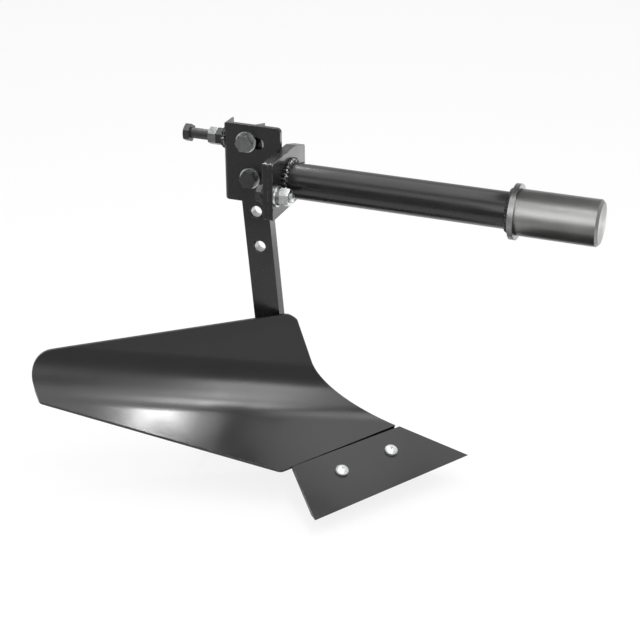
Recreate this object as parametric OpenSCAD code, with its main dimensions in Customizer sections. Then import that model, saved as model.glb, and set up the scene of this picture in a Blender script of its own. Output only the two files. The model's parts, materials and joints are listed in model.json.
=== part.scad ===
// Single-furrow plough for a two-wheel tractor. A round spigot plugs into the tractor,
// a tube beam carries two swivel plates, and the bracket behind them holds the leg,
// which pitches about one bolt and is set by a long screw pushing on its rear edge.
// Origin: on the beam axis, at the front face of the collar.
// +X forward, +Y to the left, +Z up. All sizes in millimetres and degrees.

/* [Coupling] */
// Diameter of the machined spigot
spigot_d = 50; // [44:1:56]
// Length of the spigot in front of its collar
spigot_l = 88; // [70:1:110]
// Chamfer on the spigot's front edge
spigot_chamfer = 3; // [1:0.5:5]
// Diameter of the collar that stops the spigot
collar_d = 60; // [56:1:70]
// Thickness of the collar
collar_w = 6; // [4:0.5:10]
// Length of the stub that centres the spigot in the tube
stub_l = 18; // [8:1:40]
// Diameter of the dimple for the tractor's locking bolt
dimple_d = 6; // [5:0.5:16]
// Depth of the dimple
dimple_depth = 4.5; // [3:0.5:8]
// Distance of the dimple from the collar
dimple_x = 56; // [40:1:66]
// Turn of the dimple from straight up towards the left
dimple_turn = 20; // [0:1:45]

/* [Beam tube] */
// Outside diameter of the tube
tube_d = 40; // [36:1:44]
// Wall of the tube
tube_wall = 3.2; // [2:0.1:5]
// Length of the tube between swivel plate and collar
tube_l = 254; // [180:1:320]
// Leg of the weld between tube and collar
collar_weld = 5; // [3:0.5:7]
// Leg of the weld between tube and swivel plate
tube_weld_leg = 5.5; // [3:0.5:5.5]

/* [Swivel plates] */
// Thickness of each plate
plate_t = 6; // [4:0.5:10]
// Reach of the plates to the right of the beam axis
plate_right = 49.5; // [49:0.5:60]
// Reach of the plates to the left of the beam axis
plate_left = 45; // [43:0.5:55]
// Height of the plates above the beam axis
plate_top = 34.5; // [28:0.5:45]
// Depth of the plates below the beam axis
plate_bottom = 31; // [24:0.5:40]
// Width of the cut on the top left corner
plate_cut_w = 27; // [5:1:30]
// Height of the cut on the top left corner
plate_cut_h = 8; // [3:0.5:14]
// Corner radius of the plates
plate_corner_r = 3; // [1:0.5:6]
// Distance of each swivel bolt from the beam axis, sideways
swivel_y = 38; // [38:0.5:41]
// Depth of both swivel bolts below the beam axis
swivel_drop = 5; // [0:0.5:8]
// Swivel to each side
swivel_range = 8; // [3:0.5:8]

/* [Bracket] */
// Thickness of the folded bracket
bracket_t = 5; // [4:0.5:8]
// Distance of the bracket's outer face from the beam axis
cheek_y = 1.6; // [0:0.2:6]
// Length of the bracket behind the swivel plates
bracket_l = 69; // [67:0.5:80]
// Height of the bracket above the beam axis
bracket_top = 56.7; // [52:0.5:70]
// Depth of the bracket below the beam axis
bracket_bottom = 34; // [22:0.5:34]
// Corner radius of the bracket's side
bracket_corner_r = 5; // [2:0.5:8]
// Width of the web that carries the setting screw
web_w = 20; // [20:0.5:30]
// Inside radius of the fold
fold_r = 1; // [0.5:0.1:1]
// Leg of the weld between bracket and swivel plate
bracket_weld_leg = 4; // [2:0.5:5]

/* [Leg] */
// Width of the flat bar, fore and aft
leg_w = 32; // [28:1:34]
// Thickness of the flat bar
leg_t = 14; // [10:1:16]
// Height of the leg above its pivot
leg_top = 58.6; // [56:0.2:70]
// Drop of the leg's sawn top from its front to its rear edge
leg_top_cut = 6; // [0:0.5:8]
// Distance between neighbouring holes in the leg
hole_pitch = 42.5; // [40:0.5:46]
// Number of holes in the leg
hole_count = 4; // [3:1:4]
// Diameter of the holes in the leg
hole_d = 13; // [12.6:0.1:14]
// Countersink around the mouth of each hole
hole_chamfer = 1.5; // [0.4:0.1:2]
// Distance of the pivot behind the swivel plates
pivot_back = 36.6; // [35:0.2:38]
// Depth of the pivot below the beam axis
pivot_drop = 4.9; // [0:0.1:8]
// Backward lean of the leg at rest
leg_lean = 5.14; // [3:0.02:5.2]
// Forward turn of the leg from rest, at the end of the slot
pitch_range = 17.5; // [10:0.5:17.5]
// Backward turn of the leg from rest
pitch_back = 1.5; // [0.5:0.1:1.5]
// Width of the curved slot in the bracket
slot_w = 13.5; // [13:0.1:15]

/* [Setting screw] */
// Shank diameter of the setting screw
screw_d = 12; // [8:1:12]
// Length of the setting screw under its head
screw_l = 56; // [52:1:75]
// Height of the setting screw above the beam axis
screw_z = 35; // [30:0.5:40]
// Distance of the setting screw from the leg's middle, towards the cheek
screw_aside = 0.5; // [0:0.1:0.6]
// Radius of the screw's rounded tip
screw_tip_r = 8; // [6:0.5:12]
// Gap between the screw's tip and the leg
tip_gap = 0.3; // [0.3:0.05:0.5]
// Width across the flats of the screw's head and nuts
screw_af = 18; // [15:0.5:19]
// Length of the nut welded to the bracket
boss_l = 10.5; // [8:0.5:20]
// Height of the lock nut
lock_nut_h = 10; // [5:0.5:12]

/* [Frame bolts] */
// Shank diameter of the swivel, pivot and slot bolts
bolt_d = 12; // [10:0.5:12]
// Width across the flats of their heads and nuts
bolt_af = 18; // [16:0.5:19]
// Height of their heads
head_h = 7.5; // [5:0.5:9]
// Height of their nuts
nut_h = 10.8; // [8:0.2:12]
// Diameter of their washers
washer_d = 24; // [22:0.5:24]
// Thickness of their plain washers
washer_t = 2.5; // [1.5:0.1:3]
// Outside diameter of their spring washers
spring_d = 20.5; // [19:0.5:22]
// Thickness of their spring washers
spring_t = 3; // [2:0.1:3.5]
// Bolt end that shows past the nut
bolt_past = 2.5; // [1:0.5:6]

/* [Landside] */
// Depth of the furrow sole below the pivot, along the leg
sole_drop = 336.6; // [320:0.2:350]
// Height of the landside bar
landside_h = 40; // [30:1:46]
// Reach of the landside bar behind the leg's middle
landside_back = 110; // [80:1:140]
// Leg of the weld behind the leg's foot
foot_weld_leg = 6; // [4:0.5:9]

/* [Share] */
// Distance of the share's point in front of the leg's middle
point_x = 232.2; // [228:0.2:236]
// Angle of the cutting edge to the line of travel
share_sweep = 55; // [53:0.5:57]
// Rise of the share's face from the furrow sole
share_rise = 24.1; // [23:0.1:25]
// Length of the cutting edge
share_l = 214.8; // [205:0.2:225]
// Width of the share at its wing
share_wing_w = 76.1; // [72:0.1:80]
// Width of the share at the landside
share_land_w = 72.4; // [70:0.1:76]
// Slant of the share's end at the wing
share_wing_slant = 18.4; // [5:0.2:25]
// Slant of the share's end at the landside
share_land_slant = 48.6; // [47:0.2:52]
// Thickness of the share
share_t = 5; // [4:0.5:6]
// Shank diameter of the plough bolts
share_bolt_d = 8; // [6:0.5:9]
// Diameter of their raised round heads
share_head_d = 15; // [14:0.5:18]
// Height of these heads above the share
share_head_h = 6; // [4.5:0.5:7]
// Distance of the first bolt from the point, along the edge
share_bolt_x = 80; // [74:0.5:86]
// Distance between the two bolts
share_bolt_pitch = 69; // [60:0.5:72]
// Distance of both bolts from the cutting edge
share_bolt_y = 45.5; // [44:0.5:52]
// Width across the flats of their nuts
share_nut_af = 13; // [12:0.5:14]
// Height of their nuts
share_nut_h = 6.5; // [5:0.1:7]
// Thickness of their spring washers
share_spring_t = 2; // [1.5:0.1:2.2]

/* [Frog plate] */
// Thickness of the plate behind share and mouldboard
frog_t = 5; // [4:0.5:6]
// Distance of the plate's front edge from the cutting edge
frog_low = 22; // [18:1:28]
// Reach of the plate up behind the mouldboard
frog_high = 165; // [150:1:170]
// Distance of its wing end from the point, along the edge
frog_wing = 185; // [175:1:195]
// Thickness of the gusset between leg and frog plate
gusset_t = 10; // [6:1:14]

/* [Mouldboard] */
// Thickness of the mouldboard sheet
board_t = 4; // [3:0.5:5]
// Distance of the board's bend corner from the point, along the edge
board_x = 53.1; // [50:0.1:56]
// Distance of the board's bend corner from the cutting edge
board_y = 83.9; // [81:0.1:87]
// Turn of the bend from the cutting edge
board_turn = 29.9; // [29:0.1:31]
// Start of the bend before the bend corner
bend_start = 6.3; // [5:0.1:8]
// Radius of the bend on the working face
bend_r = 64.3; // [60:0.1:70]
// Angle of the bend
bend_angle = 66.3; // [62:0.1:69]
// Distance of the heel corner behind the bend corner, along the bend
heel_x = 407.8; // [390:0.2:420]
// Distance of the heel corner below the bend corner
heel_y = 1.9; // [1:0.1:6]
// Distance of the tail corner behind the bend corner, along the bend
tail_x = 427.3; // [415:0.2:440]
// Height of the tail corner on the rolled-out sheet
tail_y = 54.3; // [50:0.1:60]
// Distance of the top corner behind the bend corner, along the bend
peak_x = 121.2; // [116:0.2:126]
// Height of the top corner on the rolled-out sheet
peak_y = 127.6; // [122:0.1:132]
// Slope of the sheet's front edge below its top corner
peak_slope = 0.4; // [0.38:0.002:0.44]
// Slope of the lower edge, down from heel to wing
lower_slope = 0.3; // [0.28:0.002:0.31]
// Radius at the top corner
peak_r = 20; // [10:1:26]
// Radius at the tail corner
tail_r = 26; // [15:1:30]
// Radius at the heel corner
heel_r = 6; // [3:0.5:10]
// Radius at the wing corner
wing_r = 10; // [4:0.5:14]
// Gap between share and mouldboard at the wing
joint_gap_wing = 1; // [0.5:0.1:3]
// Gap between share and mouldboard at the landside
joint_gap_land = 4; // [2:0.1:6]
// Lean of the shin edge away from the landside
shin_lean = 3.6; // [3:0.1:4.5]
// Width of the brace between landside and mouldboard
stay_w = 20; // [14:1:22]
// Thickness of the brace
stay_t = 6; // [4:0.5:10]
// Distance of the brace behind the leg's middle
stay_back = 75; // [65:1:85]
// Height of the brace's foot above the furrow sole
stay_foot = 15.7; // [14:0.1:20]
// Rise of the brace towards the mouldboard
stay_rise = 25; // [22:0.5:28]
// Width of the weld between leg and mouldboard
board_weld_w = 10; // [6:0.5:14]
// Length of that weld
board_weld_l = 54; // [30:1:60]
// Distance of its upper end below the leg's pivot
board_weld_drop = 170; // [168:1:180]

/* [Hidden] */
$fn = 72;

black = [0.16, 0.16, 0.165];
zinc = [0.78, 0.79, 0.78];
bare_steel = [0.66, 0.66, 0.65];
screw_black = [0.22, 0.22, 0.22];

stub_gap = 0.1;       // radial room of the stub in the tube
thread_gap = 0.1;     // radial room of the screw in its nuts, where the thread is
hole_gap = 0.5;       // radial room of a bolt in a plain hole
hex_round = 1.15;     // a head's round crown at its foot, as a share of the flats
hex_flat = 0.96;      // the same at its top
hex_crown = 0.04;     // its height
bolt_taper = 0.7;     // end of a bolt's shank, as a share of its diameter
slot_front_room = 1.5;    // turn left over at the curved slot's ends, in degrees
slot_back_room = 1;
share_bolt_past = 1.5;    // plough bolt's end that shows past its nut
head_rim = 0.45;      // straight rim of a plough bolt's head, as a share of its height
frog_top = 0.85;      // rear end of the frog plate's top edge, as a share of its height
frog_shoulder = 0.67; // height of its cut wing corner, as a share of its height
shin_drop = 48;       // length of the straight shin below the top corner
shin_past = 60;       // distance that the cutting outlines run in front of the board
heel_edge = 100;      // height of the outline's rear edge on the board's lower flat
far = 900;            // longer than the part, for cutting blocks

plate_x = -collar_w - tube_l;             // front face of the tube's plate
seam_x = plate_x - plate_t;               // where the two plates meet
head_x = seam_x - plate_t;                // rear face of the head's plate
web_x = head_x - bracket_l;               // rear face of the bracket's web
pivot_x = head_x - pivot_back;
leg_y = cheek_y + bracket_t;              // right face of the leg
land_y = leg_y + leg_t;                   // left face of the leg and landside
leg_mid = leg_y + leg_t / 2;
screw_y = leg_mid - screw_aside;
landside_top = landside_h - sole_drop;    // in the leg's own frame
swivel_slot_r = 2 * swivel_y;
swivel_slot_w = bolt_d + 2 * hole_gap;
tip_x = pivot_x - leg_w / 2 / cos(leg_lean)
    - (screw_z + pivot_drop) * tan(leg_lean) - tip_gap;
screw_head_x = tip_x - screw_l;           // under the setting screw's head
screw_head_h = 0.64 * screw_d;

function turned(p, a) = [p[0] * cos(a) - p[1] * sin(a), p[0] * sin(a) + p[1] * cos(a)];
function unit(v) = v / norm(v);

// Where the line through a and b meets the line through c and d
function meet(a, b, c, d) =
    let (u = b - a, v = d - c, w = c - a)
    a + u * (w[0] * v[1] - w[1] * v[0]) / (u[0] * v[1] - u[1] * v[0]);

// Points of an arc of radius r that rounds the corner p between its neighbours
function corner(before, p, after, r, steps = 10) =
    let (u = unit(before - p), v = unit(after - p), half = acos(u * v) / 2,
         centre = p + unit(u + v) * r / sin(half),
         start = p + u * r / tan(half) - centre,
         side = u[0] * v[1] - u[1] * v[0] > 0 ? -1 : 1)
    [for (i = [0:steps]) centre + turned(start, side * (180 - 2 * half) * i / steps)];

// An outline whose corners are rounded by the radii in r, where 0 is sharp
function rounded(pts, r) =
    let (n = len(pts))
    [for (i = [0:n - 1]) each (r[i] == 0 ? [pts[i]] :
        corner(pts[(i + n - 1) % n], pts[i], pts[(i + 1) % n], r[i]))];

function box_points(x0, x1, y0, y1) = [[x0, y0], [x1, y0], [x1, y1], [x0, y1]];

// Frames of the parts that lean or slope
module leg_frame() {
    translate([pivot_x, 0, -pivot_drop]) rotate([0, -leg_lean, 0]) children();
}

module share_frame() {
    leg_frame() translate([point_x, land_y, -sole_drop])
        rotate([0, 0, share_sweep]) rotate([share_rise, 0, 0]) children();
}

module board_frame() {
    share_frame() translate([-board_x, board_y, board_t - share_t])
        rotate([0, 0, -board_turn]) children();
}

// The rear, upper flat of the mouldboard, with Y up the sheet from the bend's corner
module upper_frame() {
    board_frame() translate([0, -bend_start, bend_r]) rotate([bend_angle, 0, 0])
        translate([0, bend_start - bend_r * bend_angle * PI / 180, -bend_r]) children();
}

module across(d, x, y, z, length) {
    translate([x, y, z]) rotate([90, 0, 0]) cylinder(d = d, h = length, center = true);
}

module ring(outer, inner, height) {
    difference() {
        cylinder(d = outer, h = height);
        translate([0, 0, -1]) cylinder(d = inner, h = height + 2);
    }
}

// A hexagon with its crown chamfered on the free face, standing on z = 0
module hexagon(af, height) {
    intersection() {
        cylinder(d = af / cos(30), h = height, $fn = 6);
        union() {
            cylinder(d = af * hex_round, h = height - af * hex_crown);
            translate([0, 0, height - af * hex_crown])
                cylinder(d1 = af * hex_round, d2 = af * hex_flat, h = af * hex_crown);
        }
    }
}

module hex_nut(af, height, bore) {
    difference() {
        hexagon(af, height);
        translate([0, 0, -1]) cylinder(d = bore, h = height + 2);
    }
}

// A bolt with its head below z = 0 and its shank upwards
module hex_bolt(af, head, d, length) {
    rotate([180, 0, 0]) hexagon(af, head);
    cylinder(d = d, h = length - d / 8);
    translate([0, 0, length - d / 8]) cylinder(d1 = d, d2 = d * bolt_taper, h = d / 8);
}

// A split spring washer
module spring_washer(outer, inner, height) {
    difference() {
        ring(outer, inner, height);
        translate([inner / 4, -height / 4, -1]) cube([outer, height / 2, height + 2]);
    }
}

module at_swivel_bolts() {
    for (side = [-1, 1]) translate([0, side * swivel_y, -swivel_drop]) children();
}

module swivel_outline() {
    outline = [[-plate_right, -plate_bottom], [plate_left, -plate_bottom],
        [plate_left, plate_top - plate_cut_h], [plate_left - plate_cut_w, plate_top],
        [-plate_right, plate_top]];
    polygon(rounded(outline, [for (i = outline) plate_corner_r]));
}

// A plate lying across the beam, its rear face at x
module cross_plate(x, t) {
    translate([x, 0, 0]) rotate([90, 0, 90]) linear_extrude(t) children();
}

module coupling_spigot() {
    color(bare_steel) difference() {
        rotate([0, 90, 0]) rotate_extrude() polygon([
            [0, -collar_w - stub_l],
            [tube_d / 2 - tube_wall - stub_gap, -collar_w - stub_l],
            [tube_d / 2 - tube_wall - stub_gap, -collar_w],
            [collar_d / 2, -collar_w], [collar_d / 2, 0], [spigot_d / 2, 0],
            [spigot_d / 2, spigot_l - spigot_chamfer],
            [spigot_d / 2 - spigot_chamfer, spigot_l], [0, spigot_l]]);
        translate([dimple_x, 0, 0]) rotate([-dimple_turn, 0, 0])
            translate([0, 0, spigot_d / 2 - dimple_depth]) cylinder(d = dimple_d, h = spigot_d);
    }
}

module coupling_weld() {
    color(black) translate([-collar_w, 0, 0]) rotate([0, -90, 0]) rotate_extrude()
        polygon([[tube_d / 2, 0], [tube_d / 2 + collar_weld, 0], [tube_d / 2, collar_weld]]);
}

module beam_tube() {
    color(black) translate([plate_x, 0, 0]) rotate([0, 90, 0])
        ring(tube_d, tube_d - 2 * tube_wall, tube_l);
}

module tube_weld() {
    color(black) translate([plate_x, 0, 0]) rotate([0, 90, 0]) rotate_extrude()
        polygon([[tube_d / 2, 0], [tube_d / 2 + tube_weld_leg, 0], [tube_d / 2, tube_weld_leg]]);
}

module tube_plate() {
    color(black) difference() {
        cross_plate(seam_x, plate_t) swivel_outline();
        at_swivel_bolts() translate([seam_x - 1, 0, 0]) rotate([0, 90, 0])
            cylinder(d = bolt_d + 2 * hole_gap, h = plate_t + 2);
    }
}

// A curved slot in a plate of thickness t: centre line radius r, from angle a to angle b,
// lying in XY about the origin, open through both faces
module curved_slot(r, a, b, w, t) {
    translate([0, 0, -1]) {
        rotate([0, 0, a]) rotate_extrude(angle = b - a)
            translate([r - w / 2, 0]) square([w, t + 2]);
        for (end = [a, b]) rotate([0, 0, end]) translate([r, 0, 0]) cylinder(d = w, h = t + 2);
    }
}

module head_plate() {
    slot_angle = swivel_range + 1;
    color(black) difference() {
        cross_plate(head_x, plate_t) swivel_outline();
        translate([head_x, -swivel_y, -swivel_drop]) {
            translate([-1, 0, 0]) rotate([0, 90, 0])
                cylinder(d = swivel_slot_w, h = plate_t + 2);
            rotate([90, 0, 90]) curved_slot(swivel_slot_r, -slot_angle, slot_angle,
                swivel_slot_w, plate_t);
        }
    }
}

module swivel_bolts() {
    length = 2 * plate_t + 2 * washer_t + spring_t + nut_h + bolt_past;
    color(screw_black) at_swivel_bolts() translate([head_x - washer_t, 0, 0]) rotate([0, 90, 0])
        hex_bolt(bolt_af, head_h, bolt_d, length);
}

module swivel_washers() {
    color(zinc) at_swivel_bolts() for (x = [head_x - washer_t, plate_x])
        translate([x, 0, 0]) rotate([0, 90, 0]) ring(washer_d, bolt_d + 2 * hole_gap, washer_t);
}

module swivel_spring_washers() {
    color(zinc) at_swivel_bolts() translate([plate_x + washer_t, 0, 0]) rotate([0, 90, 0])
        spring_washer(spring_d, bolt_d + 2 * hole_gap, spring_t);
}

module swivel_nuts() {
    color(zinc) at_swivel_bolts() translate([plate_x + washer_t + spring_t, 0, 0])
        rotate([0, 90, 0]) hex_nut(bolt_af, nut_h, bolt_d + 2 * thread_gap);
}

// The bracket is one folded plate: a cheek along the leg and a web behind it
module bracket() {
    outer_r = fold_r + bracket_t;
    section = concat([[head_x, cheek_y], [head_x, leg_y]],
        corner([head_x, leg_y], [web_x + bracket_t, leg_y],
            [web_x + bracket_t, cheek_y + web_w], fold_r, 6),
        [[web_x + bracket_t, cheek_y + web_w], [web_x, cheek_y + web_w]],
        corner([web_x, cheek_y + web_w], [web_x, cheek_y], [head_x, cheek_y], outer_r, 8));
    side = rounded(box_points(web_x, head_x, -bracket_bottom, bracket_top),
        [bracket_corner_r, 0, bracket_corner_r, bracket_corner_r]);
    slot_lean = 90 + leg_lean + pitch_back;
    color(black) difference() {
        intersection() {
            translate([0, 0, -bracket_bottom - 1])
                linear_extrude(bracket_bottom + bracket_top + 2) polygon(section);
            translate([0, cheek_y + web_w + 1, 0]) rotate([90, 0, 0])
                linear_extrude(web_w + 2) polygon(side);
        }
        across(bolt_d + 2 * hole_gap, pivot_x, leg_y, -pivot_drop, 3 * bracket_t);
        translate([pivot_x, leg_y, -pivot_drop]) rotate([90, 0, 0])
            curved_slot(hole_pitch, slot_lean - pitch_back - pitch_range - slot_front_room,
                slot_lean + slot_back_room, slot_w, bracket_t);
        translate([web_x - 1, screw_y, screw_z]) rotate([0, 90, 0])
            cylinder(d = screw_d + 2 * thread_gap, h = bracket_t + 2);
    }
}

module bracket_weld() {
    top = min(plate_top, bracket_top);
    bottom = min(plate_bottom, bracket_bottom);
    color(black) translate([head_x, 0, -bottom]) for (side = [0, 1])
        translate([0, side == 0 ? cheek_y : leg_y, 0]) linear_extrude(top + bottom)
            polygon([[0, 0], [-bracket_weld_leg, 0],
                [0, (side == 0 ? -1 : 1) * bracket_weld_leg]]);
}

module screw_boss() {
    color(black) translate([web_x, screw_y, screw_z]) rotate([0, -90, 0])
        hex_nut(screw_af, boss_l, screw_d + 2 * thread_gap);
}

module lock_nut() {
    color(zinc) translate([web_x - boss_l, screw_y, screw_z]) rotate([0, -90, 0])
        hex_nut(screw_af, lock_nut_h, screw_d + 2 * thread_gap);
}

module adjusting_screw() {
    tip_h = screw_tip_r - sqrt(pow(screw_tip_r, 2) - pow(screw_d / 2, 2));
    color(screw_black) translate([screw_head_x, screw_y, screw_z]) rotate([0, 90, 0]) {
        rotate([180, 0, 0]) hexagon(screw_af, screw_head_h);
        cylinder(d = screw_d, h = screw_l - tip_h);
        intersection() {
            translate([0, 0, screw_l - screw_tip_r]) sphere(r = screw_tip_r);
            translate([0, 0, screw_l - tip_h]) cylinder(d = screw_d, h = tip_h);
        }
    }
}

// A bolt along Y through cheek and leg, its head on the right, at its own place
module cross_bolt() {
    length = bracket_t + leg_t + 2 * washer_t + nut_h + bolt_past;
    translate([0, cheek_y - washer_t, 0]) rotate([-90, 0, 0])
        hex_bolt(bolt_af, head_h, bolt_d, length);
}

module cross_washers() {
    for (y = [cheek_y - washer_t, land_y]) translate([0, y, 0]) rotate([-90, 0, 0])
        ring(washer_d, bolt_d + 2 * hole_gap, washer_t);
}

module cross_nut() {
    translate([0, land_y + washer_t, 0]) rotate([-90, 0, 0])
        hex_nut(bolt_af, nut_h, bolt_d + 2 * thread_gap);
}

module pivot_bolt() {
    color(screw_black) translate([pivot_x, 0, -pivot_drop]) cross_bolt();
}

module pivot_washers() {
    color(zinc) translate([pivot_x, 0, -pivot_drop]) cross_washers();
}

module pivot_nut() {
    color(zinc) translate([pivot_x, 0, -pivot_drop]) cross_nut();
}

module slot_bolt() {
    color(zinc) leg_frame() translate([0, 0, hole_pitch]) cross_bolt();
}

module slot_washers() {
    color(zinc) leg_frame() translate([0, 0, hole_pitch]) cross_washers();
}

module slot_nut() {
    color(zinc) leg_frame() translate([0, 0, hole_pitch]) cross_nut();
}

module leg() {
    color(black) leg_frame() difference() {
        translate([0, land_y, 0]) rotate([90, 0, 0]) linear_extrude(leg_t)
            polygon([[-leg_w / 2, landside_top], [leg_w / 2, landside_top],
                [leg_w / 2, leg_top], [-leg_w / 2, leg_top - leg_top_cut]]);
        for (i = [0:hole_count - 1]) translate([0, 0, (1 - i) * hole_pitch]) {
            across(hole_d, 0, leg_mid, 0, leg_t + 2);
            for (side = [-1, 1]) translate([0, leg_mid + side * leg_t / 2, 0])
                rotate([90, 0, 0]) cylinder(h = 2 * hole_chamfer, center = true,
                    d1 = hole_d + (side < 0 ? 0 : 4 * hole_chamfer),
                    d2 = hole_d + (side < 0 ? 4 * hole_chamfer : 0));
        }
    }
}

module leg_weld() {
    color(black) leg_frame() translate([-leg_w / 2, land_y, landside_top]) rotate([90, 0, 0])
        linear_extrude(leg_t) polygon([[0, 0], [-foot_weld_leg, 0], [0, foot_weld_leg]]);
}

// Everything above the plane that lies depth below the share's face
module above_share(depth) {
    share_frame() translate([-far, -far, -depth]) cube([2 * far, 2 * far, far]);
}

module landside() {
    color(black) difference() {
        leg_frame() translate([-landside_back, leg_y, -sole_drop])
            cube([landside_back + point_x, leg_t, landside_h]);
        above_share(share_t + frog_t);
    }
}

module gusset() {
    color(black) difference() {
        leg_frame() translate([leg_w / 2, leg_mid + gusset_t / 2, landside_top])
            rotate([90, 0, 0]) linear_extrude(gusset_t)
                polygon([[0, 0], [point_x - leg_w, 0], [0, point_x - leg_w]]);
        above_share(share_t + frog_t);
    }
}

// Everything to the right of the leaning shin edge
module right_of_shin() {
    leg_frame() translate([0, land_y, -sole_drop]) rotate([shin_lean, 0, 0])
        translate([-far, -far, -far / 2]) cube([2 * far, far, far]);
}

module at_share_bolts() {
    share_frame() for (i = [0, 1])
        translate([-share_bolt_x - i * share_bolt_pitch, share_bolt_y, 0]) children();
}

module frog_plate() {
    outline = [[-frog_wing, frog_low], [0, frog_low], [-frog_high / 2, frog_high],
        [-frog_high * frog_top, frog_high], [-frog_wing, frog_high * frog_shoulder]];
    color(black) difference() {
        intersection() {
            share_frame() translate([0, 0, -share_t - frog_t]) linear_extrude(frog_t)
                polygon(outline);
            right_of_shin();
        }
        at_share_bolts() translate([0, 0, -share_t - frog_t - 1])
            cylinder(d = share_bolt_d + 2 * hole_gap, h = frog_t + 2);
    }
}

// The mouldboard's sheet before it is trimmed: a flat, a rolled bend and another flat
module rolled_sheet() {
    board_frame() {
        translate([-far / 2, -bend_start - far / 4, -board_t]) cube([far, far / 4, board_t]);
        translate([-far / 2, -bend_start, bend_r]) rotate([0, 90, 0])
            rotate_extrude(angle = bend_angle, $fn = 180)
                translate([bend_r, 0]) square([board_t, far]);
    }
    upper_frame() translate([-far / 2, bend_r * bend_angle * PI / 180 - bend_start, -board_t])
        cube([far, far / 4, board_t]);
}

function share_to_board(p) = turned(p - [-board_x, board_y], board_turn);

module mouldboard() {
    // On the lower flat: the joint with the share, the wing, the lower edge and the heel
    joint_wing = share_to_board([share_wing_slant - share_l, share_wing_w + joint_gap_wing]);
    joint_land = share_to_board([-share_land_slant, share_land_w + joint_gap_land]);
    heel = [-heel_x, -heel_y];
    wing = meet(joint_wing, joint_land, heel, heel + [1, -lower_slope]);
    lower = [wing, joint_land + (joint_land - wing), [far / 3, far / 3], [-far / 2, far / 3],
        [-far / 2, heel_edge], heel];
    // On the upper flat, rolled out: the tail, the top edge and the top corner
    peak = [-peak_x, peak_y];
    tail = [-tail_x, tail_y];
    upper = [tail, peak, peak + [peak_slope, -1] * shin_drop, [shin_past, 0],
        [shin_past, -far / 3], heel];
    color(black) intersection() {
        rolled_sheet();
        board_frame() translate([0, 0, -far / 2]) linear_extrude(far)
            polygon(rounded(lower, [wing_r, 0, 0, 0, 0, heel_r]));
        upper_frame() translate([0, 0, -far / 2]) linear_extrude(far)
            polygon(rounded(upper, [tail_r, peak_r, 0, 0, 0, 0]));
        right_of_shin();
    }
}

module share() {
    outline = [[0, 0], [-share_l, 0], [share_wing_slant - share_l, share_wing_w],
        [-share_land_slant, share_land_w]];
    color(black) difference() {
        share_frame() translate([0, 0, -share_t]) linear_extrude(share_t) polygon(outline);
        leg_frame() translate([-far, -far, -sole_drop - far]) cube([2 * far, 2 * far, far]);
        at_share_bolts() translate([0, 0, -share_t - 1])
            cylinder(d = share_bolt_d + 2 * hole_gap, h = share_t + 2);
    }
}

module share_bolts() {
    length = share_t + frog_t + share_spring_t + share_nut_h + share_bolt_past;
    rim = share_head_h * head_rim;
    crown = share_head_h - rim;
    dome_r = (pow(share_head_d / 2, 2) + pow(crown, 2)) / (2 * crown);
    color(zinc) at_share_bolts() {
        cylinder(d = share_head_d, h = rim);
        intersection() {
            translate([0, 0, share_head_h - dome_r]) sphere(r = dome_r);
            translate([0, 0, rim]) cylinder(d = share_head_d, h = crown);
        }
        translate([0, 0, -length]) cylinder(d = share_bolt_d, h = length);
    }
}

module share_spring_washers() {
    color(zinc) at_share_bolts() translate([0, 0, -share_t - frog_t - share_spring_t])
        spring_washer(share_nut_af + 1, share_bolt_d + 2 * hole_gap, share_spring_t);
}

module share_nuts() {
    color(zinc) at_share_bolts()
        translate([0, 0, -share_t - frog_t - share_spring_t]) rotate([180, 0, 0])
            hex_nut(share_nut_af, share_nut_h, share_bolt_d + 2 * thread_gap);
}

// Everything in front of the plane of the board's back: its lower or its upper flat
module front_of_board() {
    translate([-far, -far, -board_t]) cube([2 * far, 2 * far, far]);
}

module board_weld() {
    color(black) difference() {
        leg_frame() translate([leg_w / 2 - board_weld_w, leg_y - 3 * board_weld_w,
            -board_weld_drop - board_weld_l]) cube([board_weld_w, 3 * board_weld_w, board_weld_l]);
        upper_frame() front_of_board();
    }
}

// A flat bar from the landside's right face up to the board's lower flat
module mouldboard_stay() {
    half = stay_w / 2 / cos(stay_rise);
    color(black) difference() {
        leg_frame() translate([-stay_back - stay_t / 2, leg_y, stay_foot - sole_drop])
            rotate([90, 0, 90]) linear_extrude(stay_t) polygon([[0, -half], [0, half],
                [-far / 4, far / 4 * tan(stay_rise) + half],
                [-far / 4, far / 4 * tan(stay_rise) - half]]);
        board_frame() front_of_board();
    }
}

coupling_spigot();
coupling_weld();
beam_tube();
tube_weld();
tube_plate();
swivel_bolts();
swivel_washers();
swivel_spring_washers();
swivel_nuts();
head_plate();
bracket();
bracket_weld();
screw_boss();
lock_nut();
adjusting_screw();
pivot_bolt();
pivot_washers();
pivot_nut();
slot_bolt();
slot_washers();
slot_nut();
leg();
leg_weld();
landside();
gusset();
frog_plate();
mouldboard();
board_weld();
mouldboard_stay();
share();
share_bolts();
share_spring_washers();
share_nuts();
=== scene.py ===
import json
import math
import bpy
from mathutils import Matrix, Vector

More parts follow.
